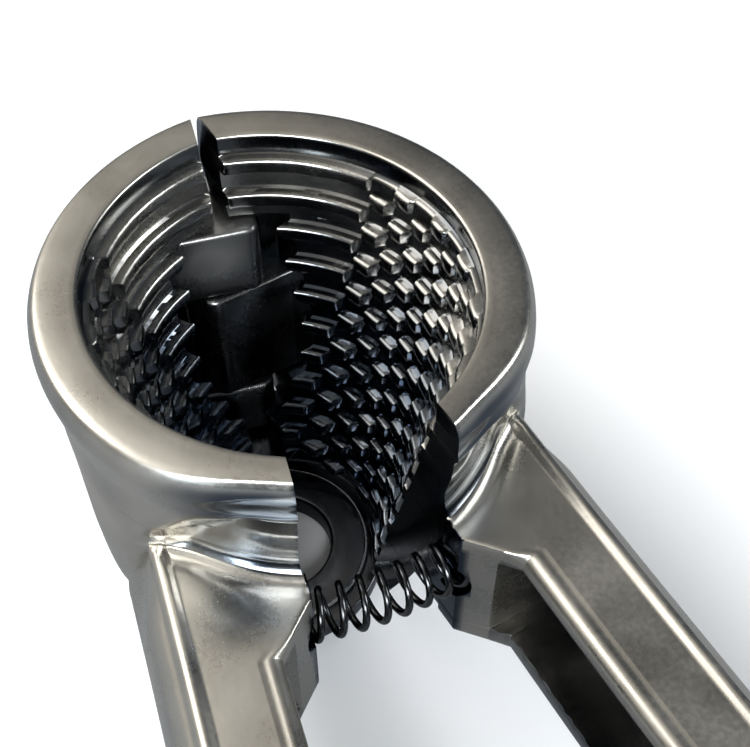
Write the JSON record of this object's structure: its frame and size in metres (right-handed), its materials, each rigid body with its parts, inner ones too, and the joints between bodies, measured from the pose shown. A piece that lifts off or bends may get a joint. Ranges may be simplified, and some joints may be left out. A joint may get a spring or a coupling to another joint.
{
  "type": "nutcracker",
  "caption": "Funnel nutcracker: two cast arms on a rear hinge pin, each half of a toothed conical mouth with a channelled handle, held open by a coil spring.",
  "frame": {"origin": "middle of the part's box in X and Y, on the face that it rests on", "axes": "+Z along the funnel's axis towards its mouth, +Y towards the hinge, handles towards -Y, moving arm on the +X side"},
  "size_m": [0.0816, 0.1762, 0.0515],
  "materials": {
    "plated_casting": "worn dark plating over a smooth casting",
    "pin_steel": "plain turned steel",
    "spring_steel": "dark drawn wire"
  },
  "bodies": {
    "left_arm": {"left_jaw": "plated_casting", "left_handle": "plated_casting", "foot_ring": "plated_casting", "hinge_pin": "pin_steel", "return_spring": "spring_steel"},
    "right_arm": {"right_jaw": "plated_casting", "right_handle": "plated_casting"}
  },
  "joints": [
    {"name": "arm_hinge", "type": "hinge", "parent": "left_arm", "child": "right_arm", "pos_m": [0, 0.08227, 0], "axis": [0, 0, 1], "range_deg": [-17, 0], "stiffness_Nm_per_rad": 0.9, "springref_deg": 4.01, "deforming": ["return_spring"]}
  ]
}
